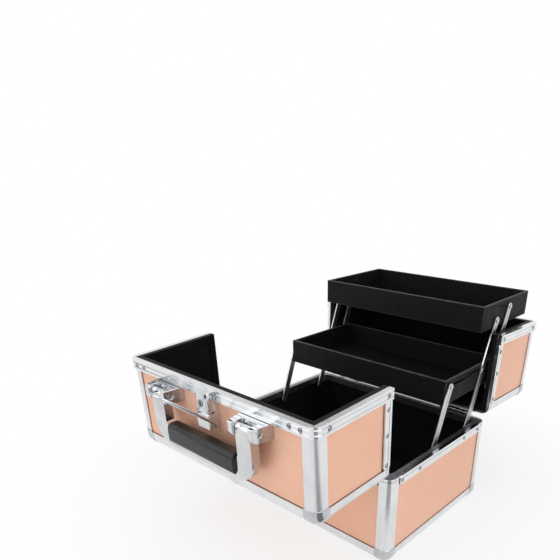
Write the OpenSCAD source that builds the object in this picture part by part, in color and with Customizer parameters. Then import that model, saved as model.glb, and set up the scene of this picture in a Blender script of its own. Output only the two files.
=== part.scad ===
// Hard makeup case with two lids and two trays, shown open.
// The case stands on the plane z = 0 with its length along X and its front at -Y.
// Each lid is drawn closed and then turned about its hinge line to its open place.

/* [Case] */
// Length of the case
case_l = 250; // [235:1:280]
// Depth of the case
case_d = 190; // [180:1:210]
// Height of the closed case without the handle
case_h = 200; // [195:1:220]
// Height of the base, where the lids meet it
seam_h = 100; // [98:1:106]
// Radius of the outer edges
edge_r = 9; // [8.5:0.5:10]
// Gap between the lids, and between a lid and the base
seam_gap = 0.3; // [0.2:0.1:0.6]

/* [Frame extrusions] */
// Visible width of the posts and edges on each face
frame_w = 14; // [13:0.5:15]
// Thickness of the flanges over the panels
frame_t = 1.2; // [1:0.1:1.5]
// Thickness of the lips behind the panels
lip_t = 1; // [0.8:0.1:1.2]
// Reach of a ball corner cap along each edge
cap_reach = 15.5; // [15.5:0.5:17]
// How far the ball corner caps stand proud
cap_proud = 0.6; // [0.3:0.1:1]
// Height of the short fittings above and below the rim seam
fitting_h = 4.2; // [3.5:0.1:5]

/* [Rim and seam] */
// Height of the rivet bands on the rims
rim_h = 9.7; // [9:0.1:11]
// How far the rim bands stand proud
rim_proud = 0.8; // [0.5:0.1:1.2]
// Thickness of the rim webs
web_t = 1.7; // [1.4:0.1:2]
// Depth of the lips inside the rims
rim_lip_h = 8; // [7:0.5:9]
// Thickness of the lips inside the rims
rim_lip_t = 1.5; // [1.2:0.1:1.8]
// Width of each seam strip
seam_w = 10.5; // [9.5:0.5:11.5]
// How far the seam strips stand proud
seam_proud = 2.2; // [1.6:0.1:2.6]
// Depth of the grooves in the bands and strips
groove_d = 0.7; // [0.4:0.1:0.9]

/* [Panels and lining] */
// Thickness of the outer panels
panel_t = 3.5; // [3:0.1:4]
// Thickness of the lining
lining_t = 1.5; // [1:0.1:2]
// Corner radius of the lining
lining_r = 13; // [11:1:16]

/* [Hinges] */
// Distance between a hinge and the last rivet beside it
hinge_gap = 5; // [3.5:0.5:9]
// Width of a hinge
hinge_w = 38; // [32:1:42]
// Height of a hinge leaf
hinge_leaf_h = 13.5; // [12:0.5:16]
// Thickness of a hinge leaf
hinge_leaf_t = 1.4; // [1.2:0.1:1.6]
// Radius of the hinge barrel
hinge_r = 2.6; // [2.4:0.1:2.8]
// Distance of the hinge pin from the face of the case
hinge_off = 4; // [3.8:0.1:4.4]
// Radius of the hinge pin
hinge_pin_r = 1.25; // [1:0.05:1.4]
// Length of the lid's barrel
hinge_mid_w = 12; // [10:1:14]

/* [Lids] */
// Opening angle of the front lid
front_open = 92; // [88:1:94]
// Opening angle of the rear lid
rear_open = 92; // [91.5:0.1:92.5]

/* [Handle] */
// Distance of each handle leg from the middle
leg_x = 60; // [57:1:64]
// Width of a handle leg
leg_w = 18; // [16:0.5:19]
// Thickness of the handle frame
leg_t = 9; // [7:0.5:9.5]
// Reach of the handle from its pivot
handle_reach = 50; // [48:1:54]
// Outer corner radius of the handle
handle_r = 22; // [18:1:24]
// Width of the bar over the grip
handle_bar = 4; // [3:0.5:5]
// Height of the slope between a leg and the end of the grip
leg_flare = 6; // [4:0.5:8]
// Width of the core bar inside the grip
core_w = 9; // [6:0.5:11]
// Thickness of the core bar inside the grip
core_t = 5; // [4:0.5:6]
// Length of the grip
grip_l = 93; // [86:1:96]
// Height of the grip
grip_h = 20.5; // [18:0.5:22]
// Thickness of the grip
grip_t = 15; // [12:0.5:16]
// Width of a handle bracket at its foot
bracket_w = 38; // [36:0.5:40]
// Height of a handle bracket over the top panel
bracket_h = 19; // [17:0.5:20]
// Depth of a handle bracket
bracket_d = 14; // [13:0.5:15]
// Narrowing of a handle bracket on each side
bracket_taper = 4; // [2:0.5:4.5]
// Radius of the outer front corner of a bracket
bracket_r = 5; // [3:0.5:6]
// Radius of the handle pivot pins
handle_pin_r = 1.8; // [1.5:0.1:2]

/* [Lock and catch] */
// Width of the lock housing
lock_w = 17; // [15:0.5:18]
// Height of the lock housing over its plate
lock_h = 7.6; // [7:0.2:8.4]
// Length of the lock housing
lock_l = 18.5; // [17:0.5:20]
// Length of the lock flap
flap_l = 15.3; // [14:0.1:17]
// Thickness of the lock plate
plate_t = 1.2; // [1:0.1:1.5]
// Radius of the key cylinder
key_r = 3.4; // [3:0.1:3.8]
// Radius of the wire of the bail
wire_r = 1.3; // [1.1:0.1:1.4]
// Half width of the bail between the middles of its legs
bail_half = 11.2; // [11:0.1:12]
// Length of the bail from its pivot to its tip
bail_l = 62; // [60:0.5:64]
// Angle of the bail from its locked place
bail_open = 50; // [40:1:52]
// Radius of the catch stud
stud_r = 3; // [2.5:0.1:3.1]

/* [Trays] */
// Room between a tray and each end of the case
tray_side = 14; // [13:0.5:20]
// Depth of a tray
tray_d = 112; // [104:1:112]
// Height of a tray
tray_h = 28; // [24:1:28]
// Thickness of the tray walls
tray_wall = 3; // [2:0.5:3.5]
// Thickness of the tray floors
tray_floor = 2; // [1.5:0.5:3]
// Room in front of the lower tray when it is stowed
low_front = 8; // [7.5:0.5:9]
// Room in front of the upper tray when it is stowed
up_front = 1; // [0.8:0.1:1.5]
// Height of the lower tray's pivots over its underside
low_pivot_h = 20; // [19.5:0.1:20.5]
// Height of the upper tray's front pivot over its underside
up_pivot_h = 8; // [7.5:0.1:8.2]

/* [Tray arms] */
// Length of the short arms between pivots
arm_short = 73; // [72.5:0.1:73.5]
// Length of the long arms between pivots
arm_long = 130; // [129.8:0.1:131]
// Angle of the open arms from the horizontal
arm_open = 69.5; // [69:0.1:69.8]
// Distance of the long arms' base pivots from the rear face
arm_back = 25; // [24.5:0.1:25.5]
// Depth of the base pivots below the seam
arm_drop = 10.6; // [10.5:0.1:11]
// Distance of the short arms' pivots from the front of the lower tray
arm_in = 9; // [8.5:0.5:13]
// Width of an arm
arm_w = 8; // [7:0.5:9]
// Thickness of an arm
arm_t = 1.6; // [1.2:0.1:2]
// Distance from the hinge line to the first rivet of the rear arms
arm_hinge_r = 36; // [35:0.5:38]
// Distance between the two rivets that hold a rear arm on the lid
arm_foot = 14; // [12:1:16]

/* [Rivets and fits] */
// Radius of a rivet head
rivet_r = 2.4; // [2:0.1:2.8]
// Radius of a rivet shank
shank_r = 1.2; // [1:0.1:1.4]
// Running clearance of pins in holes, on the radius
run_fit = 0.06; // [0.04:0.01:0.1]
// Gap beside parts that swing past each other
side_gap = 0.5; // [0.4:0.1:0.6]

/* [Hidden] */
$fn = 64;
eps = 0.01;
core_s = edge_r;
in0 = frame_t + panel_t + lip_t;
in1 = in0 + lining_t;
in2 = in1 + rim_lip_t;
half_gap = seam_gap / 2;
lid_z = seam_h + seam_gap;
panel_top = case_h - frame_t;
hinge_y = case_d / 2 + hinge_off;
leaf_y = case_d / 2 + rim_proud;
band_end = frame_w + 1;
band_r = 2.5;
band_depth = frame_t + rim_proud;
leaf_depth = hinge_leaf_t + band_depth;
groove_w = 0.8;
corner_groove = 0.9;
knuckle_gap = 0.3;
base_leaf_in = 0.3;
rivet_in = 5;
hinge_x = case_l / 2 - frame_w - rivet_in - hinge_gap - hinge_w / 2;
hinge_rivet_x = 11;
hinge_rivet_z = 7.7;
rim_rivet_z = rim_h * 0.55;
dome_h = 1;
strip_rivet_in = 6;
strip_rivet_x = 4;
strip_rivet_gap = 12;
leg_fit = 0.5;
bracket_y = -(seam_w + side_gap + bracket_d / 2);
pivot_z = case_h + 12;
notch_drop = leg_t / 2 + leg_fit;
grip_r = 5;
grip_z = handle_reach - handle_bar - grip_h / 2;
grip_fit = 0.05;
plate_z = case_h + seam_proud;
plate_top = plate_z + plate_t;
plate_half = lock_w / 2 + 1.1;
ear_t = 1;
ear_in = lock_w / 2 + 0.1;
lock_y = -1.5;
flap_gap = 0.7;
flap_y = lock_y - lock_l - flap_gap;
flap_r = 2.3;
flap_top = plate_top + lock_h - 0.8;
flap_low = plate_top + 0.5;
flap_pin_y = flap_y - flap_r;
flap_pin_z = flap_top - flap_r;
flap_pin_r = 0.9;
bail_y = lock_y - 27.5;
bail_z = plate_top + 3.6;
catch_y = bail_y + bail_l - 5;
catch_over = 0.4;
catch_neck = bail_z + wire_r + 0.4;
catch_head = 1.5;
catch_half = 7;
key_y = lock_y - lock_l * 0.55;
ear_h = 6.4;
lock_hole_l = 4 * lock_w;
key_depth = 5;
key_gap = 0.05;
key_proud = 0.3;
key_slot_w = 1.2;
key_slot_l = 4.4;
key_slot_deep = 2;
washer = 0.1;
tray_l = case_l - 2 * tray_side;
tray_gap = 0.6;
arm_x = tray_l / 2 + tray_gap;
arm_out = arm_x + arm_t + washer;
stud_wall = case_l / 2 - in1;
arm_y = case_d / 2 - arm_back;
arm_z = seam_h - arm_drop;
arm_stow = arm_open + rear_open;
stow_front = -case_d / 2 + in2;
low_off = arm_y + arm_short * cos(arm_stow) - stow_front - low_front;
arm_gap = low_off - arm_in;
short_y = arm_y - arm_gap;
low_y = arm_y + arm_short * cos(arm_open);
low_z = arm_z + arm_short * sin(arm_open);
up_y = arm_y + arm_long * cos(arm_open);
up_z = arm_z + arm_long * sin(arm_open);
up_off = arm_y + arm_long * cos(arm_stow) - stow_front - up_front;
end_ys = [case_d / 2 - frame_w - rivet_in, case_d / 2 - frame_w - 36, seam_w + 9];
low_pivots = [[low_y - arm_gap, low_z], [low_y, low_z]];
up_pivots = [[up_y, up_z], [up_y + hinge_y - arm_y, up_z + arm_drop]];
rose_long = [0.88, 0.63, 0.5];
rose_end = [0.85, 0.64, 0.57];
satin = [0.8, 0.81, 0.82];
chrome = [0.6, 0.61, 0.63];
bright = [0.7, 0.71, 0.72];
black = [0.1, 0.1, 0.11];

// Shared shapes

module rounded_rect(l, w, r) {
  square([l - 2 * r, w], center = true);
  square([l, w - 2 * r], center = true);
  for (x = [-1, 1], y = [-1, 1]) translate([x * (l / 2 - r), y * (w / 2 - r)]) circle(r);
}

// Outline of the case in plan, set in by a depth
module plan(depth, r) {
  rounded_rect(case_l - 2 * depth, case_d - 2 * depth, r);
}

// Corner extrusion: rounded outside, flanges over two panels and lips behind them
module corner_section() {
  difference() {
    union() {
      translate([core_s, core_s]) circle(core_s);
      translate([core_s, 0]) square([eps, core_s]);
      translate([0, core_s]) square([core_s, eps]);
      translate([frame_t + panel_t, core_s]) square([lip_t, frame_w - core_s]);
      translate([core_s, frame_t + panel_t]) square([frame_w - core_s, lip_t]);
      translate([0, core_s]) square([frame_t, frame_w - core_s]);
      translate([core_s, 0]) square([frame_w - core_s, frame_t]);
    }
    translate([in0, in0]) square(2 * core_s);
    translate([core_s, frame_t]) square([2 * core_s, panel_t]);
    translate([frame_t, core_s]) square([panel_t, 2 * core_s]);
  }
}

// Solid corner with three rounded edges, its corner at the origin
module rounded_corner(r, s) {
  intersection() {
    cube(s);
    union() {
      translate([r, r, r]) sphere(r);
      translate([r, r, r]) cylinder(h = s - r, r = r);
      translate([r, r, r]) rotate([-90, 0, 0]) cylinder(h = s - r, r = r);
      translate([r, r, r]) rotate([0, 90, 0]) cylinder(h = s - r, r = r);
      translate([r, r, 0]) cube([s - r, s - r, s]);
      translate([r, 0, r]) cube([s - r, s, s - r]);
      translate([0, r, r]) cube([s, s - r, s - r]);
    }
  }
}

// Ball cap over a corner, cut out for the three panels and the lining
module corner_cap() {
  difference() {
    translate([-cap_proud, -cap_proud, -cap_proud]) rounded_corner(core_s + cap_proud, cap_reach + cap_proud);
    translate([core_s, frame_t, core_s]) cube([cap_reach, panel_t + eps, cap_reach]);
    translate([frame_t, core_s, core_s]) cube([panel_t + eps, cap_reach, cap_reach]);
    translate([core_s, core_s, frame_t]) cube([cap_reach, cap_reach, panel_t + eps]);
    translate([in0, in0, in0]) cube(cap_reach);
    translate([core_s, in0, core_s]) cube(cap_reach);
  }
}

// The corner at (-X, -Y, 0), repeated at the named corners
module at_corners(xs, ys) {
  for (x = xs, y = ys)
    mirror([x, 0, 0]) mirror([0, y, 0]) translate([-case_l / 2, -case_d / 2, 0]) children();
}

module from_top() {
  translate([0, 0, case_h]) mirror([0, 0, 1]) children();
}

module both_ends() {
  children();
  mirror([1, 0, 0]) children();
}

// A lid drawn closed in front, turned open about its hinge line
module front_lid_place() {
  translate([0, -hinge_y, seam_h]) rotate([front_open, 0, 0]) translate([0, hinge_y, -seam_h]) children();
}

module rear_lid_place() {
  mirror([0, 1, 0]) translate([0, -hinge_y, seam_h]) rotate([rear_open, 0, 0])
    translate([0, hinge_y, -seam_h]) children();
}

// Flat head with a short shank, standing along Z on the plane z = 0
module rivet(depth) {
  intersection() {
    translate([0, 0, dome_h - rivet_r * 1.5]) sphere(rivet_r * 1.5);
    cylinder(h = dome_h, r = rivet_r);
  }
  translate([0, 0, -depth]) cylinder(h = depth + dome_h / 2, r = shank_r);
}

module shank_hole(depth) {
  translate([0, 0, -depth]) cylinder(h = depth + 1, r = shank_r);
}

// Places of the rivets on one rim band of a long face, on the hinges and beside the corners
module long_rivet_places(z) {
  for (x = [-1, 1]) translate([x * (case_l / 2 - frame_w - rivet_in), -case_d / 2 - rim_proud, z])
    rotate([90, 0, 0]) children();
}

module hinge_rivet_places(z) {
  for (h = [-1, 1], x = [-1, 1])
    translate([h * hinge_x + x * hinge_rivet_x, -leaf_y - hinge_leaf_t, z]) rotate([90, 0, 0]) children();
}

// Rivets on the end bands, at given distances from the middle of the end
module end_rivet_places(ys, z) {
  for (x = [-1, 1], y = ys) translate([x * (case_l / 2 + rim_proud), y, z]) rotate([0, x * 90, 0]) children();
}

// Rivets on the seam strips of one lid
module strip_rivet_places() {
  for (x = [-1, 1]) {
    for (z = [lid_z + strip_rivet_in + 1, case_h - core_s - strip_rivet_in])
      translate([x * (case_l / 2 + seam_proud), -seam_w / 2, z]) rotate([0, x * 90, 0]) children();
    for (i = [0, 1]) translate([x * (case_l / 2 - core_s - strip_rivet_x - i * strip_rivet_gap), 0, 0])
      translate([0, -seam_w / 2, case_h + seam_proud]) children();
  }
}

// Base

module base_long_panel() {
  translate([-case_l / 2 + core_s, -case_d / 2 + frame_t, core_s])
    cube([case_l - 2 * core_s, panel_t, seam_h - web_t - core_s]);
}

module base_end_panel() {
  translate([-case_l / 2 + frame_t, -case_d / 2 + core_s, core_s])
    cube([panel_t, case_d - 2 * core_s, seam_h - web_t - core_s]);
}

module base_front_panel() { color(rose_long) base_long_panel(); }
module base_rear_panel() { color(rose_long) mirror([0, 1, 0]) base_long_panel(); }
module base_left_panel() { color(rose_end) base_end_panel(); }
module base_right_panel() { color(rose_end) mirror([1, 0, 0]) base_end_panel(); }

module base_bottom_panel() {
  color(black) {
    translate([-case_l / 2 + core_s, -case_d / 2 + core_s, frame_t])
      cube([case_l - 2 * core_s, case_d - 2 * core_s, panel_t]);
    translate([-case_l / 2 + cap_reach, -case_d / 2 + cap_reach, 0])
      cube([case_l - 2 * cap_reach, case_d - 2 * cap_reach, frame_t + eps]);
  }
}

module base_lining() {
  color(black) difference() {
    translate([0, 0, in0]) linear_extrude(seam_h - web_t - in0) plan(in0, lining_r);
    translate([0, 0, in1]) linear_extrude(seam_h) plan(in1, lining_r - lining_t);
    base_stud_places() rotate([0, 90, 0]) cylinder(h = case_l, r = shank_r);
  }
}

module base_corner_posts() {
  color(satin) at_corners([0, 1], [0, 1]) translate([0, 0, cap_reach])
    linear_extrude(seam_h - fitting_h - cap_reach) corner_section();
}

module long_edge() {
  translate([0, -case_d / 2, 0]) rotate([90, 0, 90])
    linear_extrude(case_l - 2 * cap_reach, center = true) corner_section();
}

module base_long_edges() {
  color(satin) {
    long_edge();
    mirror([0, 1, 0]) long_edge();
  }
}

module base_end_edges() {
  color(satin) both_ends() translate([-case_l / 2, 0, 0]) rotate([90, 0, 0])
    linear_extrude(case_d - 2 * cap_reach, center = true) corner_section();
}

// A band along X on the plane y = 0 with its face at -Y, from its middle height
module band(l) {
  translate([0, frame_t, 0]) rotate([90, 0, 0]) difference() {
    linear_extrude(frame_t + rim_proud) rounded_rect(l, rim_h, band_r);
    translate([-l, rim_h / 2 - 3 - groove_w, frame_t + rim_proud - groove_d]) cube([2 * l, groove_w, 2]);
  }
}

module base_rim() {
  color(satin) difference() {
    union() {
      translate([0, 0, seam_h - web_t]) linear_extrude(web_t) difference() {
        plan(0, edge_r);
        plan(in2, lining_r - lining_t - rim_lip_t);
      }
      translate([0, 0, seam_h - rim_lip_h]) linear_extrude(rim_lip_h - eps) difference() {
        plan(in1, lining_r - lining_t);
        plan(in2, lining_r - lining_t - rim_lip_t);
      }
      for (m = [0, 1]) mirror([0, m, 0])
        translate([0, -case_d / 2, seam_h - rim_h / 2]) band(case_l - 2 * band_end);
      both_ends() translate([case_l / 2, 0, seam_h - rim_h / 2]) rotate([0, 0, 90])
        band(case_d - 2 * band_end);
    }
    base_rivet_places() shank_hole(band_depth);
    for (m = [0, 1]) mirror([0, m, 0]) hinge_rivet_places(seam_h - hinge_rivet_z) shank_hole(leaf_depth);
  }
}

module base_rivet_places() {
  for (m = [0, 1]) mirror([0, m, 0]) {
    long_rivet_places(seam_h - rim_rivet_z) children();
    end_rivet_places([end_ys[0], end_ys[1]], seam_h - rim_rivet_z) children();
  }
}

module base_rivets() {
  color(bright) {
    base_rivet_places() rivet(band_depth);
    for (m = [0, 1]) mirror([0, m, 0]) hinge_rivet_places(seam_h - hinge_rivet_z) rivet(leaf_depth);
  }
}

module base_corner_fittings() {
  color(chrome) at_corners([0, 1], [0, 1]) {
    intersection() {
      corner_cap();
      translate([-cap_reach, -cap_reach, 0]) cube(3 * cap_reach);
    }
    translate([0, 0, seam_h - fitting_h]) linear_extrude(fitting_h - web_t) corner_section();
  }
}

// Hinges: the lid holds the middle barrel, the base the two outer ones

module barrel(x0, x1, r) {
  translate([x0, -hinge_y, seam_h]) rotate([0, 90, 0]) cylinder(h = x1 - x0, r = r);
}

module hinge_base_leaf() {
  mid = hinge_mid_w / 2;
  difference() {
    union() {
      translate([-hinge_w / 2, -leaf_y - hinge_leaf_t, seam_h - hinge_leaf_h])
        cube([hinge_w, hinge_leaf_t, hinge_leaf_h - base_leaf_in]);
      for (m = [0, 1]) mirror([m, 0, 0]) barrel(mid + knuckle_gap, hinge_w / 2, hinge_r);
    }
    barrel(-mid - knuckle_gap, mid + knuckle_gap, hinge_r + knuckle_gap);
    barrel(-hinge_w, hinge_w, hinge_pin_r);
    for (x = [-1, 1]) translate([x * hinge_rivet_x, -leaf_y - hinge_leaf_t, seam_h - hinge_rivet_z])
      rotate([90, 0, 0]) shank_hole(hinge_leaf_t + 1);
  }
}

module hinge_base_leaves() {
  color(chrome) for (m = [0, 1], x = [-1, 1])
    mirror([0, m, 0]) translate([x * hinge_x, 0, 0]) hinge_base_leaf();
}

module hinge_lid_leaf() {
  mid = hinge_mid_w / 2;
  difference() {
    union() {
      translate([-hinge_w / 2, -leaf_y - hinge_leaf_t, lid_z]) cube([hinge_w, hinge_leaf_t, hinge_leaf_h]);
      translate([-mid, -leaf_y - hinge_leaf_t, seam_h]) cube([hinge_mid_w, hinge_leaf_t, hinge_leaf_h]);
      barrel(-mid, mid, hinge_r);
    }
    for (m = [0, 1]) mirror([m, 0, 0]) barrel(mid, hinge_w, hinge_r + knuckle_gap);
    barrel(-hinge_w, hinge_w, hinge_pin_r + run_fit);
    for (x = [-1, 1]) translate([x * hinge_rivet_x, -leaf_y - hinge_leaf_t, seam_h + hinge_rivet_z])
      rotate([90, 0, 0]) shank_hole(hinge_leaf_t + 1);
  }
}

module lid_hinge_leaves() {
  for (x = [-1, 1]) translate([x * hinge_x, 0, 0]) hinge_lid_leaf();
}

module hinge_pins() {
  color(bright) for (m = [0, 1], x = [-1, 1])
    mirror([0, m, 0]) translate([x * hinge_x, 0, 0]) barrel(-hinge_w / 2, hinge_w / 2, hinge_pin_r);
}

// Lid, drawn closed in front

module lid_face_panel() {
  translate([-case_l / 2 + core_s, -case_d / 2 + frame_t, lid_z + web_t])
    cube([case_l - 2 * core_s, panel_t, case_h - core_s - lid_z - web_t]);
}

module lid_top_panel() {
  translate([-case_l / 2 + core_s, -case_d / 2 + core_s, case_h - frame_t - panel_t])
    cube([case_l - 2 * core_s, case_d / 2 - core_s - half_gap - web_t, panel_t]);
}

module lid_end_panel() {
  translate([-case_l / 2 + frame_t, -case_d / 2 + core_s, lid_z + web_t])
    cube([panel_t, case_d / 2 - core_s - half_gap - web_t, case_h - core_s - lid_z - web_t]);
}

// The front half of a plan outline, cut at a distance from the seam
module half_plan(depth, r, cut) {
  difference() {
    plan(depth, r);
    translate([-case_l, -cut]) square([2 * case_l, case_d]);
  }
}

module lid_lining() {
  z0 = lid_z + web_t;
  difference() {
    translate([0, 0, z0]) linear_extrude(case_h - in0 - z0) half_plan(in0, lining_r, half_gap + web_t);
    translate([0, 0, z0 - 1]) linear_extrude(case_h - in1 - z0 + 1) half_plan(in1, lining_r - lining_t, 0);
  }
}

module lid_posts() {
  at_corners([0, 1], [0]) translate([0, 0, lid_z + fitting_h])
    linear_extrude(case_h - cap_reach - lid_z - fitting_h) corner_section();
}

module lid_top_edge() { from_top() long_edge(); }

module lid_end_edges() {
  l = case_d / 2 - cap_reach - seam_w;
  both_ends() from_top() translate([-case_l / 2, -seam_w, 0]) rotate([90, 0, 0])
    linear_extrude(l) corner_section();
}

module lid_rim() {
  side_l = case_d / 2 - band_end - seam_w;
  difference() {
    union() {
      translate([0, 0, lid_z]) linear_extrude(web_t) difference() {
        half_plan(0, edge_r, seam_w);
        plan(in2, lining_r - lining_t - rim_lip_t);
      }
      translate([0, 0, lid_z + eps]) linear_extrude(rim_lip_h) difference() {
        half_plan(in1, lining_r - lining_t, seam_w);
        plan(in2, lining_r - lining_t - rim_lip_t);
      }
      translate([0, -case_d / 2, lid_z + rim_h / 2]) mirror([0, 0, 1]) band(case_l - 2 * band_end);
      both_ends() translate([case_l / 2, -seam_w - side_l / 2, lid_z + rim_h / 2])
        mirror([0, 0, 1]) rotate([0, 0, 90]) band(side_l - 0.4);
    }
    lid_band_rivet_places() shank_hole(band_depth);
    hinge_rivet_places(seam_h + hinge_rivet_z) shank_hole(leaf_depth);
  }
}

module lid_band_rivet_places() {
  long_rivet_places(lid_z + rim_rivet_z) children();
  end_rivet_places([for (y = end_ys) -y], lid_z + rim_rivet_z) children();
}

// Outline of the closed case in the XZ plane, grown outward and cut flat below
module arch(grow, low) {
  r = max(0.3, edge_r + grow);
  w = case_l + 2 * grow;
  top = case_h + grow;
  translate([-w / 2, low]) square([w, top - r - low]);
  translate([-w / 2 + r, low]) square([w - 2 * r, top - low]);
  for (x = [-1, 1]) translate([x * (w / 2 - r), top - r]) circle(r);
}

// An arch of a given thickness, from one distance behind the seam to another
module arch_ring(outer, inner, y0, y1) {
  translate([0, -y0, 0]) rotate([90, 0, 0]) linear_extrude(y1 - y0) difference() {
    arch(outer, lid_z);
    arch(inner, lid_z - 1);
  }
}

module lid_seam_frame() {
  difference() {
    union() {
      arch_ring(seam_proud, -frame_t, half_gap, seam_w);
      arch_ring(seam_proud, -in2, half_gap, half_gap + web_t);
      arch_ring(-in1, -in2, half_gap, rim_lip_h);
      both_ends() translate([case_l / 2 - in2, -seam_w, lid_z]) cube([in2 - eps, seam_w - half_gap, web_t]);
    }
    for (y = [2.6, 7.2]) arch_ring(seam_proud + 2, seam_proud - groove_d, y, y + corner_groove);
    strip_rivet_places() shank_hole(frame_t + seam_proud);
  }
}

module lid_corner_fittings() {
  from_top() at_corners([0, 1], [0]) corner_cap();
  at_corners([0, 1], [0]) translate([0, 0, lid_z + web_t]) linear_extrude(fitting_h - web_t) corner_section();
}

module lid_rivets() {
  lid_band_rivet_places() rivet(band_depth);
  hinge_rivet_places(seam_h + hinge_rivet_z) rivet(leaf_depth);
  strip_rivet_places() rivet(frame_t + seam_proud);
}

module front_lid_face_panel() { color(rose_long) front_lid_place() lid_face_panel(); }
module front_lid_top_panel() { color(rose_long) front_lid_place() lid_top_panel(); }
module front_lid_left_panel() { color(rose_end) front_lid_place() lid_end_panel(); }
module front_lid_right_panel() { color(rose_end) front_lid_place() mirror([1, 0, 0]) lid_end_panel(); }
module front_lid_lining() { color(black) front_lid_place() lid_lining(); }
module front_lid_posts() { color(satin) front_lid_place() lid_posts(); }
module front_lid_top_edge() { color(satin) front_lid_place() lid_top_edge(); }
module front_lid_end_edges() { color(satin) front_lid_place() lid_end_edges(); }
module front_lid_rim() { color(satin) front_lid_place() lid_rim(); }
module front_lid_seam_frame() { color(satin) front_lid_place() lid_seam_frame(); }
module front_lid_corner_fittings() { color(chrome) front_lid_place() lid_corner_fittings(); }
module front_lid_rivets() { color(chrome) front_lid_place() lid_rivets(); }
module front_lid_hinge_leaves() { color(chrome) front_lid_place() lid_hinge_leaves(); }

module rear_lid_face_panel() { color(rose_long) rear_lid_place() lid_face_panel(); }
module rear_lid_top_panel() { color(rose_long) rear_lid_place() lid_top_panel(); }
module rear_lid_left_panel() { color(rose_end) rear_lid_place() lid_end_panel(); }
module rear_lid_right_panel() { color(rose_end) rear_lid_place() mirror([1, 0, 0]) lid_end_panel(); }
module rear_lid_lining() {
  color(black) rear_lid_place() difference() {
    lid_lining();
    lid_stud_places() rotate([0, 90, 0]) cylinder(h = case_l, r = shank_r);
  }
}
module rear_lid_posts() { color(satin) rear_lid_place() lid_posts(); }
module rear_lid_top_edge() { color(satin) rear_lid_place() lid_top_edge(); }
module rear_lid_end_edges() { color(satin) rear_lid_place() lid_end_edges(); }
module rear_lid_rim() { color(satin) rear_lid_place() lid_rim(); }
module rear_lid_seam_frame() { color(satin) rear_lid_place() lid_seam_frame(); }
module rear_lid_corner_fittings() { color(chrome) rear_lid_place() lid_corner_fittings(); }
module rear_lid_rivets() {
  color(chrome) rear_lid_place() {
    lid_rivets();
    lid_stud_places() arm_stud();
  }
}
module rear_lid_hinge_leaves() { color(chrome) rear_lid_place() lid_hinge_leaves(); }

// Handle

// Bracket outline in the XZ plane, its foot on the top panel
module bracket_outline() {
  h = bracket_h + frame_t;
  top = bracket_w / 2 - bracket_taper;
  translate([0, panel_top]) difference() {
    polygon([[-bracket_w / 2, 0], [bracket_w / 2, 0], [top, h], [-top, h]]);
    translate([-leg_w / 2 - leg_fit, pivot_z - notch_drop - panel_top]) square([leg_w + 2 * leg_fit, h]);
  }
}

// What is cut off along the outer front corner of a bracket
module bracket_corner() {
  y = bracket_y - bracket_d / 2 + bracket_r;
  z = case_h + bracket_h - bracket_r;
  translate([-bracket_w, y, z]) rotate([90, 0, 90]) linear_extrude(2 * bracket_w) difference() {
    translate([-2 * bracket_r, 0]) square(2 * bracket_r);
    circle(bracket_r);
  }
}

module handle_brackets() {
  color(chrome) front_lid_place() for (x = [-1, 1]) translate([x * leg_x, 0, 0]) difference() {
    translate([0, bracket_y, 0]) rotate([90, 0, 0])
      linear_extrude(bracket_d, center = true) bracket_outline();
    bracket_corner();
    translate([0, bracket_y, pivot_z]) rotate([0, 90, 0])
      cylinder(h = 2 * bracket_w, r = handle_pin_r, center = true);
  }
}

module handle_pins() {
  color(chrome) front_lid_place() for (x = [-1, 1])
    translate([x * leg_x, bracket_y, pivot_z]) rotate([0, 90, 0])
      cylinder(h = bracket_w - 2 * bracket_taper, r = handle_pin_r, center = true);
}

// The handle is drawn upright and folded flat towards the front
module handle_place() {
  front_lid_place() translate([0, bracket_y, pivot_z]) rotate([90, 0, 0]) children();
}

// The right leg in the XZ plane: straight from the pivot, then sloping in beside the grip
module leg_outline() {
  out = leg_x + leg_w / 2;
  in = leg_x - leg_w / 2;
  low = grip_z - grip_h / 2;
  difference() {
    polygon([
      [in, 0], [out, 0], [out, handle_reach], [grip_l / 2, handle_reach],
      [grip_l / 2, low + leg_flare], [in, low]
    ]);
    translate([out - handle_r, handle_reach - handle_r]) difference() {
      square(2 * handle_r);
      circle(handle_r);
    }
  }
}

module handle_frame() {
  color(chrome) handle_place() difference() {
    union() {
      both_ends() {
        rotate([90, 0, 0]) linear_extrude(leg_t, center = true) leg_outline();
        translate([leg_x, 0, 0]) rotate([0, 90, 0]) cylinder(h = leg_w, r = leg_t / 2, center = true);
      }
      translate([-grip_l / 2 - eps, -core_t / 2, grip_z - core_w / 2])
        cube([grip_l + 2 * eps, core_t, core_w]);
      translate([-grip_l / 2 - eps, -leg_t / 2, handle_reach - handle_bar])
        cube([grip_l + 2 * eps, leg_t, handle_bar]);
    }
    rotate([0, 90, 0]) cylinder(h = case_l, r = handle_pin_r + run_fit, center = true);
  }
}

module handle_grip() {
  color(black) handle_place() translate([0, 0, grip_z]) rotate([90, 0, 90])
    linear_extrude(grip_l, center = true) difference() {
      rounded_rect(grip_t, grip_h, grip_r);
      square([core_t + 2 * grip_fit, core_w + 2 * grip_fit], center = true);
    }
}

// Lock on the front lid

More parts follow.
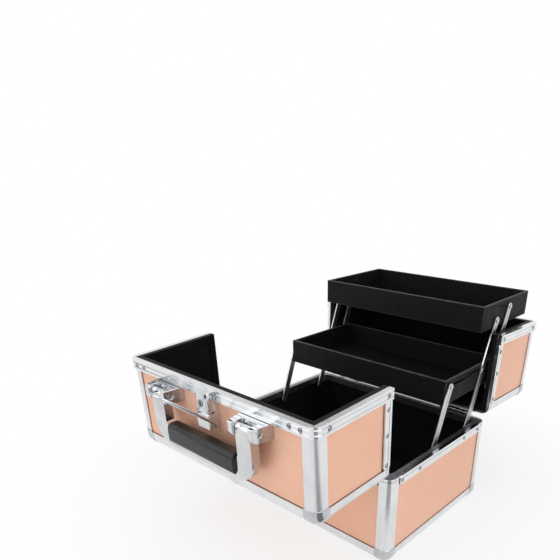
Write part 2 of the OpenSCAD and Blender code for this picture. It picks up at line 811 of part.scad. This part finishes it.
module lock_plate() {
  len = -flap_y + flap_l + 0.5;
  color(chrome) front_lid_place() difference() {
    union() {
      translate([-plate_half, -len, plate_z]) cube([2 * plate_half, len - 1, plate_t]);
      translate([-plate_half, -len, panel_top])
        cube([2 * plate_half, len - seam_w - side_gap, plate_z - panel_top + eps]);
      for (m = [0, 1]) mirror([m, 0, 0])
        translate([ear_in, bail_y - 3, plate_top - eps]) cube([ear_t, flap_pin_y + 2.4 - bail_y + 3, ear_h]);
    }
    translate([0, bail_y, bail_z]) rotate([0, 90, 0])
      cylinder(h = lock_hole_l, r = wire_r + run_fit, center = true);
    translate([0, flap_pin_y, flap_pin_z]) rotate([0, 90, 0])
      cylinder(h = lock_hole_l, r = flap_pin_r + run_fit, center = true);
  }
}

module lock_housing() {
  color(chrome) front_lid_place() difference() {
    translate([0, lock_y, 0]) rotate([90, 0, 0]) linear_extrude(lock_l) intersection() {
      translate([0, plate_top]) rounded_rect(lock_w, 2 * lock_h, 4);
      translate([-lock_w, plate_top]) square([2 * lock_w, lock_h]);
    }
    translate([0, key_y, plate_top + lock_h - key_depth]) cylinder(h = 2 * key_depth, r = key_r + run_fit);
  }
}

module lock_cylinder() {
  low = plate_top + lock_h - key_depth + key_gap;
  color(bright) front_lid_place() translate([0, key_y, low]) difference() {
    cylinder(h = key_depth + key_proud, r = key_r);
    translate([-key_slot_w / 2, -key_slot_l / 2, key_depth - key_slot_deep])
      cube([key_slot_w, key_slot_l, key_depth]);
  }
}

module lock_flap() {
  half = lock_w / 2 - 0.3;
  y1 = flap_y - flap_l;
  color(chrome) front_lid_place() {
    translate([0, flap_pin_y, flap_pin_z]) rotate([0, 90, 0])
      cylinder(h = 2 * half, r = flap_r, center = true);
    translate([-half, flap_pin_y - flap_r, flap_pin_z - flap_r]) cube([2 * half, flap_r, 2 * flap_r]);
    translate([-half, y1, flap_low]) cube([2 * half, flap_pin_y - flap_r - y1 + eps, flap_top - flap_low]);
    translate([0, flap_pin_y, flap_pin_z]) rotate([0, 90, 0])
      cylinder(h = 2 * (ear_in + ear_t), r = flap_pin_r, center = true);
  }
}

module lock_bail() {
  leg = bail_l - bail_half;
  color(bright) front_lid_place() translate([0, bail_y, bail_z]) rotate([bail_open, 0, 0]) {
    for (x = [-1, 1]) {
      translate([x * bail_half, 0, 0]) rotate([-90, 0, 0]) cylinder(h = leg, r = wire_r);
      translate([x * bail_half, 0, 0]) sphere(wire_r);
      translate([x * ear_in, 0, 0]) rotate([0, x * 90, 0]) cylinder(h = bail_half - ear_in, r = wire_r);
    }
    translate([0, leg, 0]) rotate_extrude(angle = 180) translate([bail_half, 0]) circle(wire_r);
  }
}

module catch() {
  len = catch_y + 8;
  color(chrome) rear_lid_place() {
    translate([-catch_half, -len, plate_z]) cube([2 * catch_half, len - 1, plate_t]);
    translate([-catch_half, -len, panel_top])
      cube([2 * catch_half, len - seam_w - side_gap, plate_z - panel_top + eps]);
    translate([0, -catch_y, plate_top - eps]) cylinder(h = catch_neck - plate_top + 2 * eps, r = stud_r);
    translate([0, -catch_y, catch_neck]) cylinder(h = catch_head, r = stud_r + catch_over);
  }
}

// Trays and their arms

module tray(y0, z0) {
  translate([-tray_l / 2, y0, z0]) difference() {
    cube([tray_l, tray_d, tray_h]);
    translate([tray_wall, tray_wall, tray_floor])
      cube([tray_l - 2 * tray_wall, tray_d - 2 * tray_wall, tray_h]);
  }
}

// Holes through the end walls of a tray, at given points of the YZ plane
module tray_holes(places) {
  for (p = places) translate([0, p[0], p[1]]) rotate([0, 90, 0])
    cylinder(h = case_l, r = shank_r, center = true);
}

module lower_tray() {
  color(black) difference() {
    tray(low_y - low_off, low_z - low_pivot_h);
    tray_holes(low_pivots);
  }
}

module upper_tray() {
  color(black) difference() {
    tray(up_y - up_off, up_z - up_pivot_h);
    tray_holes(up_pivots);
  }
}

// Rivets that hold the arms to a tray, headed inside the wall and outside the arm
module tray_rivets(places) {
  inner = tray_l / 2 - tray_wall;
  for (p = places) both_ends() translate([0, p[0], p[1]]) rotate([0, 90, 0]) {
    translate([0, 0, inner - dome_h]) cylinder(h = dome_h, r = rivet_r);
    translate([0, 0, inner - dome_h / 2]) cylinder(h = arm_out - inner + dome_h, r = shank_r);
    translate([0, 0, arm_out]) cylinder(h = dome_h, r = rivet_r);
  }
}

module lower_tray_rivets() { color(bright) tray_rivets(low_pivots); }
module upper_tray_rivets() { color(bright) tray_rivets(up_pivots); }

// A pair of flat arms from a pivot in the YZ plane, with holes at the given distances
module arms(y, z, length, holes) {
  both_ends() translate([arm_x, y, z]) rotate([arm_open, 0, 0]) difference() {
    union() {
      translate([0, 0, -arm_w / 2]) cube([arm_t, length, arm_w]);
      for (d = [0, length]) translate([0, d, 0]) rotate([0, 90, 0]) cylinder(h = arm_t, r = arm_w / 2);
    }
    for (d = holes) translate([-1, d, 0]) rotate([0, 90, 0]) cylinder(h = arm_t + 2, r = shank_r + run_fit);
  }
}

module short_arms() { color(satin) arms(short_y, arm_z, arm_short, [0, arm_short]); }
module long_arms() { color(satin) arms(arm_y, arm_z, arm_long, [0, arm_short, arm_long]); }

module rear_arms() {
  y = hinge_y + arm_hinge_r * cos(arm_open);
  z = seam_h + arm_hinge_r * sin(arm_open);
  l = arm_long - arm_hinge_r;
  color(satin) arms(y, z, l, [0, arm_foot, l]);
}

// Flush rivets with a collar that hold an arm off the wall of the base or of the rear lid
module arm_stud() {
  translate([arm_out, 0, 0]) rotate([0, 90, 0]) cylinder(h = stud_wall - arm_out, r = rivet_r);
  translate([arm_x - washer, 0, 0]) rotate([0, 90, 0])
    cylinder(h = stud_wall + lining_t - arm_x + washer, r = shank_r);
}

module base_stud_places() {
  both_ends() for (y = [short_y, arm_y]) translate([0, y, arm_z]) children();
}

module lid_stud_places() {
  both_ends() for (r = [arm_hinge_r, arm_hinge_r + arm_foot])
    translate([0, -hinge_y - r * cos(arm_stow), seam_h + r * sin(arm_stow)]) children();
}

module arm_base_studs() { color(bright) base_stud_places() arm_stud(); }

base_front_panel();
base_rear_panel();
base_left_panel();
base_right_panel();
base_bottom_panel();
base_lining();
base_corner_posts();
base_long_edges();
base_end_edges();
base_rim();
base_corner_fittings();
base_rivets();
hinge_base_leaves();
hinge_pins();
arm_base_studs();
front_lid_face_panel();
front_lid_top_panel();
front_lid_left_panel();
front_lid_right_panel();
front_lid_lining();
front_lid_posts();
front_lid_top_edge();
front_lid_end_edges();
front_lid_rim();
front_lid_seam_frame();
front_lid_corner_fittings();
front_lid_rivets();
front_lid_hinge_leaves();
handle_brackets();
handle_pins();
lock_plate();
lock_housing();
lock_cylinder();
lock_flap();
lock_bail();
handle_frame();
handle_grip();
rear_lid_face_panel();
rear_lid_top_panel();
rear_lid_left_panel();
rear_lid_right_panel();
rear_lid_lining();
rear_lid_posts();
rear_lid_top_edge();
rear_lid_end_edges();
rear_lid_rim();
rear_lid_seam_frame();
rear_lid_corner_fittings();
rear_lid_rivets();
rear_lid_hinge_leaves();
catch();
rear_arms();
long_arms();
short_arms();
lower_tray();
upper_tray();
lower_tray_rivets();
upper_tray_rivets();
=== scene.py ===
import math

import bpy
from mathutils import Matrix, Vector


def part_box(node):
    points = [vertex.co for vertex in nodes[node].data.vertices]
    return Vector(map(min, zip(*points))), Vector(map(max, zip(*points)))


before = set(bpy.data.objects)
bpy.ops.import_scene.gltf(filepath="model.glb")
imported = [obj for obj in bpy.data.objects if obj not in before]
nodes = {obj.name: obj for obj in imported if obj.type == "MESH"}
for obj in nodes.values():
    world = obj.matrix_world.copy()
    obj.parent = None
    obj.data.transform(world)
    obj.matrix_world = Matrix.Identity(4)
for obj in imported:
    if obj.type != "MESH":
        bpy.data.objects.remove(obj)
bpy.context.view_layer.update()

# Camera of the open view: angles in degrees, place in metres, lens and sensor in millimetres,
# shift in image widths
AZIMUTH, ELEVATION, ROLL = -42.10, 26.78, -0.14
CAMERA = Vector((0.3781, -0.4810, 0.3770))
FOCAL, SENSOR = 36.14, 36.0
SHIFT = (-0.0641, 0.2830)
CLIP_START = 0.01

# The case in metres: half length and depth, height, height of the seam, widths of the frames
HALF_L, HALF_D, CASE_H, SEAM_H = 0.125, 0.095, 0.200, 0.100
FRAME_W = 0.014
RIM_H = 0.0097
SEAM_W = 0.0105
LID_GAP = 0.0003
# Hinge line of a lid and the angle at which the part was modelled open
HINGE_Y = 0.099
OPEN = math.radians(92)
# Depth from the outside at which the inner trim of a rim or seam frame starts
TRIM_FROM = 0.0034

# Colours, linear; a pair is what a material varies between
PALE_ROSE = (0.900, 0.545, 0.400), (0.940, 0.600, 0.455)
RICH_ROSE = (0.640, 0.250, 0.115), (0.740, 0.305, 0.150)
ROSE_DEPTH, ROSE_SHINE = 0.30, 0.40
# The bright flake specks of the laminate are partly grain and partly a painted glint
ROSE_PIT, ROSE_FLAKE_AND_PAINTED_GLINT = (0.42, 0.16, 0.09), (1.0, 0.66, 0.48)
# Dark joint line along the frames, partly painted shade under the frame's lip
ROSE_JOINT_SHADE = (0.030, 0.016, 0.012)
BRIGHT = (0.80, 0.81, 0.82), (0.70, 0.71, 0.73)
BRIGHT_RUBBED = (0.30, 0.31, 0.33)
CHROME = (0.70, 0.71, 0.72), (0.56, 0.57, 0.59)
FITTING = (0.62, 0.63, 0.65), (0.46, 0.47, 0.49)
STEEL = (0.38, 0.39, 0.41), (0.20, 0.20, 0.22)
WIRE = (0.62, 0.63, 0.64), (0.46, 0.47, 0.49)
ARM = (0.68, 0.69, 0.71), (0.54, 0.55, 0.58)
TRIM = (0.006, 0.006, 0.0065)
RIM_INNER = (0.16, 0.165, 0.175)
# Dark line where the bright band meets the inner trim, partly painted shade in the groove
TRIM_JOINT_SHADE = (0.02, 0.02, 0.022)
LEATHER = (0.0040, 0.0040, 0.0046), (0.0095, 0.0095, 0.0105)
# Painted highlights of the trays: lighter edges and a lighter top rim
LEATHER_EDGE_HIGHLIGHT, LEATHER_RIM_HIGHLIGHT = (0.040, 0.041, 0.043), (0.085, 0.087, 0.090)
LEATHER_PORE = (0.0022, 0.0022, 0.0025)
CLOTH = (0.0045, 0.0045, 0.005), (0.010, 0.010, 0.011)
CLOTH_THREAD = (0.022, 0.022, 0.024)
RUBBER = (0.007, 0.007, 0.008), (0.015, 0.015, 0.016)
FLOOR = (0.84, 0.87, 0.88), (0.86, 0.89, 0.90)
CARD_DARK, CARD_GREY = (0.015, 0.015, 0.015), (0.26, 0.26, 0.27)
WHITE = (1.0, 1.0, 1.0, 1.0)

# World light on the object, and the white that is only seen
FILL, WHITE_STRENGTH = 0.62, 1.0
MATT = 0.9


class Graph:
    """Nodes of a new material, or of a given world, with short names for what they need."""

    def __init__(self, name, world=None):
        self.owner = world or bpy.data.materials.new(name)
        self.owner.use_nodes = True
        self.tree = self.owner.node_tree
        self.tree.nodes.clear()
        self.out = self.add("ShaderNodeOutputWorld" if world else "ShaderNodeOutputMaterial")

    def add(self, kind, **props):
        n = self.tree.nodes.new(kind)
        for k, v in props.items():
            setattr(n, k, v)
        return n

    def put(self, socket, value):
        if isinstance(value, bpy.types.NodeSocket):
            self.tree.links.new(value, socket)
        else:
            socket.default_value = value

    def coord(self):
        return self.add("ShaderNodeTexCoord").outputs["Object"]

    def math(self, op, a, b=0.0, clamp=False):
        n = self.add("ShaderNodeMath", operation=op, use_clamp=clamp)
        for s, v in zip(n.inputs, (a, b)):
            self.put(s, v)
        return n.outputs[0]

    def fit(self, v, low, high, to_low=0.0, to_high=1.0, smooth=False):
        """Maps low..high to to_low..to_high and stays there beyond them."""
        kind = "SMOOTHSTEP" if smooth else "LINEAR"
        n = self.add("ShaderNodeMapRange", interpolation_type=kind)
        for s, x in zip(n.inputs, (v, low, high, to_low, to_high)):
            self.put(s, x)
        return n.outputs[0]

    def inset(self, v, low, high):
        """Distance of v to the nearer of two limits."""
        return self.math("MINIMUM", self.math("SUBTRACT", v, low), self.math("SUBTRACT", high, v))

    def place(self, vector, scale=(1, 1, 1), turn=(0, 0, 0), move=(0, 0, 0)):
        n = self.add("ShaderNodeMapping")
        self.put(n.inputs["Vector"], vector)
        n.inputs["Scale"].default_value = scale
        n.inputs["Rotation"].default_value = turn
        n.inputs["Location"].default_value = move
        return n.outputs[0]

    def noise(self, vector, scale, detail=3.0, rough=0.5, distort=0.0):
        n = self.add("ShaderNodeTexNoise")
        self.put(n.inputs["Vector"], vector)
        n.inputs["Scale"].default_value = scale
        n.inputs["Detail"].default_value = detail
        n.inputs["Roughness"].default_value = rough
        n.inputs["Distortion"].default_value = distort
        return n.outputs[0]

    def cells(self, vector, scale, feature="F1"):
        n = self.add("ShaderNodeTexVoronoi", feature=feature)
        self.put(n.inputs["Vector"], vector)
        n.inputs["Scale"].default_value = scale
        return n.outputs

    def mix(self, factor, a, b):
        n = self.add("ShaderNodeMix", data_type="RGBA")
        self.put(n.inputs[0], factor)
        self.put(n.inputs[6], (*a, 1) if isinstance(a, tuple) else a)
        self.put(n.inputs[7], (*b, 1) if isinstance(b, tuple) else b)
        return n.outputs[2]

    def vary(self, pattern, pair, low=0.3, high=0.7):
        """Colour between the two of a pair, as the pattern runs from low to high."""
        return self.mix(self.fit(pattern, low, high), *pair)

    def split(self, vector):
        n = self.add("ShaderNodeSeparateXYZ")
        self.put(n.inputs[0], vector)
        return n.outputs

    def bump(self, height, strength, distance, normal=None):
        n = self.add("ShaderNodeBump")
        n.inputs["Strength"].default_value = strength
        n.inputs["Distance"].default_value = distance
        self.put(n.inputs["Height"], height)
        if normal is not None:
            self.put(n.inputs["Normal"], normal)
        return n.outputs[0]

    def surface(self, colour, roughness, metallic=0.0, normal=None, coat=0.0, coat_rough=0.2,
                level=0.5):
        """Principled shader; what is the same all over goes on its own sockets."""
        p = self.add("ShaderNodeBsdfPrincipled")
        p.inputs["Specular IOR Level"].default_value = level
        self.put(p.inputs["Base Color"], (*colour, 1) if isinstance(colour, tuple) else colour)
        self.put(p.inputs["Roughness"], roughness)
        self.put(p.inputs["Metallic"], metallic)
        p.inputs["Coat Weight"].default_value = coat
        p.inputs["Coat Roughness"].default_value = coat_rough
        if normal is not None:
            self.put(p.inputs["Normal"], normal)
        return p.outputs[0]

    def glow(self, kind, strength):
        n = self.add(kind)
        n.inputs["Color"].default_value = WHITE
        n.inputs["Strength"].default_value = strength
        return n.outputs[0]

    def blend(self, factor, a, b):
        n = self.add("ShaderNodeMixShader")
        for s, v in zip(n.inputs, (factor, a, b)):
            self.put(s, v)
        return n.outputs[0]

    def seen(self):
        """1 for camera, glossy and transmission rays, so white shown by it lights nothing."""
        path = self.add("ShaderNodeLightPath").outputs
        rays = self.math("ADD", path["Is Camera Ray"], path["Is Glossy Ray"])
        return self.math("ADD", rays, path["Is Transmission Ray"], clamp=True)

    def finish(self, shader):
        self.tree.links.new(shader, self.out.inputs["Surface"])
        return self.owner


def scaled(colour, factor):
    return tuple(c * factor for c in colour)


def lid_coords(g, side):
    """Object coordinates turned back to the closed case. side is -1 front, 1 rear, 0 base."""
    at = g.coord()
    if side == 0:
        return at
    moved = g.place(at, move=(0, -side * HINGE_Y, -SEAM_H))
    turned = g.place(moved, turn=(side * OPEN, 0, 0))
    return g.place(turned, move=(0, side * HINGE_Y, SEAM_H))


def rose(name, side, axes, low, high):
    """Rose laminate with a fine metallic grain whose bright specks are partly a painted glint, and
    a dark joint line where it meets the frame that is partly painted shade.
    """
    g = Graph(name)
    at = lid_coords(g, side)
    xyz = g.split(at)
    edge = None
    for axis, lo, hi in zip(axes, low, high):
        near = g.inset(xyz[axis], lo, hi)
        edge = near if edge is None else g.math("MINIMUM", edge, near)
    # Dark joint line along the frame, partly painted shade under its lip
    joint_shade_line = g.fit(edge, 0.00045, 0.0009, 1.0, 0.0)
    grain = g.cells(at, 1150)
    speck = g.fit(grain["Distance"], 0.0, 0.9, 1.0, 0.0)
    fine = g.noise(at, 1900, 2.0)
    cloud = g.noise(at, 11, 3.0, 0.55)
    smear = g.noise(at, 26, 4.0, 0.6, 0.6)
    tone = g.mix(ROSE_DEPTH, g.vary(cloud, PALE_ROSE), g.vary(cloud, RICH_ROSE))
    tone = g.mix(g.fit(fine, 0.42, 0.70, 0.0, 0.335), tone, ROSE_PIT)
    # Bright specks in random cells: flake grain, partly a painted glint
    tone = g.mix(g.fit(grain["Color"], 0.45, 1.0, 0.0, 0.246), tone, ROSE_FLAKE_AND_PAINTED_GLINT)
    tone = g.mix(joint_shade_line, tone, ROSE_JOINT_SHADE)
    rough = g.math("ADD", g.fit(smear, 0.3, 0.75, 0.34, 0.46), g.math("MULTIPLY", joint_shade_line, 0.3))
    shine = g.math("MULTIPLY", g.math("SUBTRACT", 1.0, joint_shade_line), ROSE_SHINE)
    normal = g.bump(fine, 0.16, 0.00010, g.bump(speck, 0.30, 0.00014))
    return g.finish(g.surface(tone, rough, shine, normal, coat=0.08, coat_rough=0.3))


def metal(name, pair, rough, marks, stretch=None, bump=0.05):
    """Metal with slight tarnish and rubbed patches, and drawn lines if it is stretched."""
    g = Graph(name)
    at = g.coord()
    dark = pair[1]
    if stretch:
        lines = g.noise(g.place(at, scale=stretch), 900, 3.0, 0.6)
    else:
        lines = g.noise(at, 240, 3.0, 0.6)
    cloud = g.noise(at, 38, 4.0, 0.6, 0.4)
    wear_and_rim_highlight = g.noise(at, 170, 5.0, 0.7, 0.8)
    tone = g.vary(cloud, pair, low=0.35)
    tone = g.mix(g.fit(wear_and_rim_highlight, 0.60, 0.78, 0.0, marks), tone, scaled(dark, 0.45))
    streak = g.fit(lines, 0.35, 0.7, 0.0, 0.18 if stretch else 0.1)
    tone = g.mix(streak, tone, scaled(dark, 0.72))
    r = g.fit(lines, 0.3, 0.7, rough * 0.82, rough * 1.22)
    r = g.math("ADD", r, g.fit(cloud, 0.3, 0.75, 0.0, rough * 0.35))
    return g.finish(g.surface(tone, r, 1.0, g.bump(lines, bump, 0.00006)))


def trimmed(name, side, inner, seam, matt):
    """Bright band whose inner part, deeper than TRIM_FROM, has a colour of its own.
    seam is true for a seam frame, which goes round the top, and false for a rim;
    matt makes the inner part a trim that isn't metal."""
    g = Graph(name)
    at = lid_coords(g, side)
    xyz = g.split(at)
    if seam:
        other = g.math("SUBTRACT", CASE_H, xyz["Z"])
    else:
        other = g.math("SUBTRACT", HALF_D, g.math("ABSOLUTE", xyz["Y"]))
    depth = g.math("SUBTRACT", HALF_L, g.math("ABSOLUTE", xyz["X"]))
    depth = g.math("MINIMUM", depth, other)
    cloud = g.noise(at, 38, 4.0, 0.6, 0.4)
    wear_and_rim_highlight = g.noise(at, 170, 5.0, 0.7, 0.8)
    inside = g.fit(depth, TRIM_FROM, TRIM_FROM + 0.0002)
    outside = g.math("SUBTRACT", 1.0, inside)
    # Dark joint line just outside the trim, partly painted shade in the groove
    joint_shade_line = g.math("MULTIPLY", g.fit(depth, TRIM_FROM - 0.0004, TRIM_FROM - 0.0001), outside)
    tone = g.vary(cloud, BRIGHT, low=0.35)
    tone = g.mix(g.fit(wear_and_rim_highlight, 0.60, 0.78, 0.0, 0.16), tone, BRIGHT_RUBBED)
    tone = g.mix(inside, tone, g.vary(wear_and_rim_highlight, (inner, scaled(inner, 1.5))))
    tone = g.mix(joint_shade_line, tone, TRIM_JOINT_SHADE)
    rough = g.math("ADD", g.fit(wear_and_rim_highlight, 0.3, 0.7, 0.15, 0.22), g.math("MULTIPLY", inside, 0.22))
    metallic = outside if matt else 1.0
    return g.finish(g.surface(tone, rough, metallic, g.bump(wear_and_rim_highlight, 0.03, 0.00006), level=0.04))


def leatherette(name, low, high):
    """Black leather grain, with a painted highlight, in patches, along the edges of the box between
    two corners and along its top rim.
    """
    g = Graph(name)
    at = g.coord()
    xyz = g.split(at)
    pebble = g.cells(g.place(at, scale=(1, 1, 1.15)), 850, "SMOOTH_F1")["Distance"]
    crease = g.cells(at, 430, "DISTANCE_TO_EDGE")["Distance"]
    soft = g.noise(at, 320, 4.0, 0.6)
    patch_noise = g.noise(at, 55, 5.0, 0.65, 0.5)
    rim = g.fit(xyz["Z"], high[2] - 0.0009, high[2] - 0.0001)
    # Painted highlight along the top rim, in patches
    wear_and_rim_highlight = g.math("MULTIPLY", rim, g.fit(patch_noise, 0.28, 0.6, 0.35, 1.0))
    # An edge is where the second smallest distance to the box's sides is small
    x, y, z = (g.inset(xyz[axis], lo, hi) for axis, lo, hi in zip("XYZ", low, high))
    second = g.math("MAXIMUM", g.math("MINIMUM", x, y),
                    g.math("MINIMUM", g.math("MAXIMUM", x, y), z))
    # Painted highlight along the edges, in patches
    edge_highlight = g.math("MULTIPLY", g.fit(second, 0.0002, 0.0010, 1.0, 0.0),
                  g.fit(patch_noise, 0.25, 0.6, 0.30, 0.85))
    tone = g.vary(soft, LEATHER)
    tone = g.mix(edge_highlight, tone, LEATHER_EDGE_HIGHLIGHT)
    tone = g.mix(wear_and_rim_highlight, tone, LEATHER_RIM_HIGHLIGHT)
    tone = g.mix(g.fit(pebble, 0.25, 0.75, 0.0, 0.55), tone, LEATHER_PORE)
    height = g.math("ADD", pebble, g.math("MULTIPLY", crease, 0.8))
    normal = g.bump(soft, 0.15, 0.00015, g.bump(height, 0.70, 0.00034))
    rough = g.fit(patch_noise, 0.3, 0.7, 0.46, 0.62)
    return g.finish(g.surface(tone, rough, normal=normal, level=0.11))


def cloth(name):
    """Black woven lining."""
    g = Graph(name)
    at = g.coord()
    weave = g.noise(at, 1500, 3.0, 0.7)
    tone = g.vary(g.noise(at, 18, 4.0, 0.6), CLOTH)
    tone = g.mix(g.fit(weave, 0.45, 0.8, 0.0, 0.35), tone, CLOTH_THREAD)
    rough = g.fit(weave, 0.3, 0.7, 0.80, 0.95)
    return g.finish(g.surface(tone, rough, normal=g.bump(weave, 0.3, 0.0002), level=0.05))


def rubber(name):
    """Black handle grip with a fine cast texture."""
    g = Graph(name)
    at = g.coord()
    grain = g.cells(at, 1100, "SMOOTH_F1")["Distance"]
    soft = g.noise(at, 120, 4.0, 0.6)
    rough = g.fit(soft, 0.3, 0.7, 0.27, 0.42)
    normal = g.bump(grain, 0.3, 0.0002)
    return g.finish(g.surface(g.vary(soft, RUBBER), rough, normal=normal, level=0.40))


satin_x = metal("satin_x", BRIGHT, 0.25, 0.10, stretch=(0.02, 1, 1))
satin_y = metal("satin_y", BRIGHT, 0.25, 0.10, stretch=(1, 0.02, 1))
satin_z = metal("satin_z", BRIGHT, 0.25, 0.10, stretch=(1, 1, 0.02))
chrome = metal("chrome", CHROME, 0.06, 0.10, bump=0.015)
fitting = metal("fitting_chrome", FITTING, 0.05, 0.20, bump=0.02)
steel = metal("rivet_steel", STEEL, 0.16, 0.5, bump=0.04)
wire = metal("wire_steel", WIRE, 0.12, 0.25, bump=0.02)
flat_arm = metal("arm_steel", ARM, 0.28, 0.20, stretch=(1, 1, 0.05))
lining = cloth("lining_cloth")
# A box far outside the case, so that the board gets no painted highlight on its edges
board = leatherette("black_board", (-9, -9, -9), (9, 9, 9))
grip = rubber("grip_rubber")


def shown(part, side):
    """Axes and limits of the part of a panel that shows between the frames."""
    x, y, top = HALF_L - FRAME_W, HALF_D - FRAME_W, CASE_H - FRAME_W
    if side == 0:
        low, high = FRAME_W, SEAM_H - RIM_H
        if part in ("front", "rear"):
            return "XZ", (-x, low), (x, high)
        return "YZ", (-y, low), (y, high)
    near, far = (-y, -SEAM_W) if side < 0 else (SEAM_W, y)
    low = SEAM_H + LID_GAP + RIM_H
    if part == "face":
        return "XZ", (-x, low), (x, top)
    if part == "top":
        return "XY", (-x, near), (x, far)
    return "YZ", (near, low), (far, top)


# Which way a lid opens, for the pieces whose names start so
SIDES = {"base": 0, "front_lid": -1, "rear_lid": 1}


def material_for(name):
    group = next((k for k in SIDES if name.startswith(k)), None)
    side = SIDES.get(group)
    if name == "base_bottom_panel":
        return board
    if name.endswith("_panel"):
        part = name[len(group) + 1:-len("_panel")]
        return rose("rose_" + name, side, *shown(part, side))
    if name.endswith("lining"):
        return lining
    if name.endswith(("long_edges", "top_edge")):
        return satin_x
    if name.endswith("end_edges"):
        return satin_y if group == "base" else satin_z
    if name.endswith("posts"):
        return satin_z if group == "base" else satin_y
    if name.endswith("seam_frame"):
        return trimmed("trim_" + name, side, TRIM, seam=True, matt=True)
    if name == "base_rim":
        return trimmed("trim_base", side, RIM_INNER, seam=False, matt=False)
    if name.endswith("rim"):
        return trimmed("trim_" + name, side, TRIM, seam=False, matt=True)
    if name.endswith("fittings"):
        return fitting
    if name in ("lock_bail", "lower_tray_rivets", "upper_tray_rivets"):
        return wire
    if name.endswith(("rivets", "studs")) or name in ("hinge_pins", "handle_pins", "lock_cylinder"):
        return steel
    if name.endswith("_arms"):
        return flat_arm
    if name.endswith("_tray"):
        return leatherette("leather_" + name, *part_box(name))
    if name == "handle_grip":
        return grip
    return chrome


def soften(obj, width):
    """Small rounded edges on a CAD node, by modifiers only."""
    weld = obj.modifiers.new("weld", "WELD")
    weld.merge_threshold = 0.000002
    bevel = obj.modifiers.new("bevel", "BEVEL")
    bevel.width = width
    bevel.segments = 2
    bevel.limit_method = "ANGLE"
    bevel.angle_limit = math.radians(38)
    bevel.harden_normals = True
    bevel.use_clamp_overlap = True


for name, obj in nodes.items():
    obj.data.materials.clear()
    obj.data.materials.append(material_for(name))

# Widths of the rounded edges in metres
EDGES = {"lower_tray": 0.0006, "upper_tray": 0.0006, "handle_frame": 0.0012,
         "handle_brackets": 0.0006, "lock_housing": 0.0009, "lock_plate": 0.0003,
         "lock_flap": 0.0005, "catch": 0.0004, "handle_grip": 0.0006,
         "rear_arms": 0.0002, "long_arms": 0.0002, "short_arms": 0.0002}
for name, width in EDGES.items():
    soften(nodes[name], width)


# Stage: a pale floor that fades to white, cards that only reflections show, soft lamps
def mesh_object(name, verts, mat):
    """A single flat face in the scene."""
    me = bpy.data.meshes.new(name)
    me.from_pydata(verts, [], [tuple(range(len(verts)))])
    me.update()
    ob = bpy.data.objects.new(name, me)
    bpy.context.scene.collection.objects.link(ob)
    me.materials.append(mat)
    return ob


def floor_material():
    g = Graph("floor_pale")
    at = g.coord()
    xyz = g.split(at)
    squares = [g.math("MULTIPLY", xyz[axis], xyz[axis]) for axis in "XY"]
    radius = g.math("SQRT", g.math("ADD", *squares))
    pale = g.surface(g.mix(g.noise(at, 6), *FLOOR), MATT)
    # From 0.14 m to 0.50 m from the middle, the floor goes over to white
    white = g.math("MULTIPLY", g.seen(), g.fit(radius, 0.14, 0.50, 0.70, 1.0, smooth=True))
    return g.finish(g.blend(white, pale, g.glow("ShaderNodeEmission", WHITE_STRENGTH)))


def card_material(name, colour):
    g = Graph(name)
    return g.finish(g.surface(colour, MATT))


def disc(name, radius, count, mat):
    angles = [2 * math.pi * i / count for i in range(count)]
    return mesh_object(name, [(radius * math.cos(a), radius * math.sin(a), 0) for a in angles], mat)


def card(name, centre, normal, w, h, mat):
    n = Vector(normal).normalized()
    u = n.cross(Vector((0, 0, 1))).normalized()
    v = u.cross(n)
    corners = (-1, -1), (1, -1), (1, 1), (-1, 1)
    verts = [Vector(centre) + u * a * w / 2 + v * b * h / 2 for a, b in corners]
    return mesh_object(name, [tuple(p) for p in verts], mat)


floor = disc("floor", 40.0, 96, floor_material())
dark = card_material("card_dark", CARD_DARK)
grey = card_material("card_grey", CARD_GREY)
cards = [
    mesh_object("card_floor", [(0.145, -0.175, 0.008), (0.215, -0.105, 0.008),
                               (0.78, -0.56, 0.008), (0.58, -0.80, 0.008)], grey),
    card("card_low", (0.30, -0.95, 0.10), (0, 1, 0.2), 0.9, 0.16, dark),
    card("card_left", (-1.15, -0.75, 0.55), (1, 0.65, 0), 0.30, 0.9, dark),
    card("card_over", (-0.75, 0.85, 0.92), (0.66, -0.75, -0.5), 1.3, 0.10, dark),
]
for item in cards:
    item.visible_camera = False
    item.visible_diffuse = False
    item.visible_shadow = False


def area(name, place, target, size, power):
    """Round area lamp; size is its diameter in metres, power in watts."""
    lamp = bpy.data.lights.new(name, "AREA")
    lamp.shape = "DISK"
    lamp.size = size
    lamp.energy = power
    ob = bpy.data.objects.new(name, lamp)
    ob.location = place
    ob.rotation_euler = (Vector(target) - Vector(place)).to_track_quat("-Z", "Y").to_euler()
    bpy.context.scene.collection.objects.link(ob)


area("key_light", (-0.55, -1.25, 1.15), (0, -0.05, 0.12), 2.2, 11)
area("side_light", (1.45, -0.55, 0.95), (0, 0, 0.12), 1.7, 10)
area("top_light", (0.1, 0.35, 1.6), (0, 0, 0.1), 1.8, 3)

world = bpy.data.worlds.new("studio")
bpy.context.scene.world = world
sky = Graph("studio", world)
fill = sky.glow("ShaderNodeBackground", FILL)
sky.finish(sky.blend(sky.seen(), fill, sky.glow("ShaderNodeBackground", WHITE_STRENGTH)))

cam_data = bpy.data.cameras.new("camera")
cam = bpy.data.objects.new("camera", cam_data)
bpy.context.scene.collection.objects.link(cam)
az, el, ro = (math.radians(a) for a in (AZIMUTH, ELEVATION, ROLL))
look = Vector((math.sin(az) * math.cos(el), math.cos(az) * math.cos(el), -math.sin(el)))
right = look.cross(Vector((0, 0, 1))).normalized()
up = right.cross(look)
right, up = right * math.cos(ro) + up * math.sin(ro), up * math.cos(ro) - right * math.sin(ro)
cam.matrix_world = Matrix.Translation(CAMERA) @ Matrix((right, up, -look)).transposed().to_4x4()
cam_data.lens = FOCAL
cam_data.sensor_width = SENSOR
cam_data.shift_x, cam_data.shift_y = SHIFT
cam_data.clip_start = CLIP_START
bpy.context.scene.camera = cam
bpy.context.scene.view_settings.view_transform = "Standard"
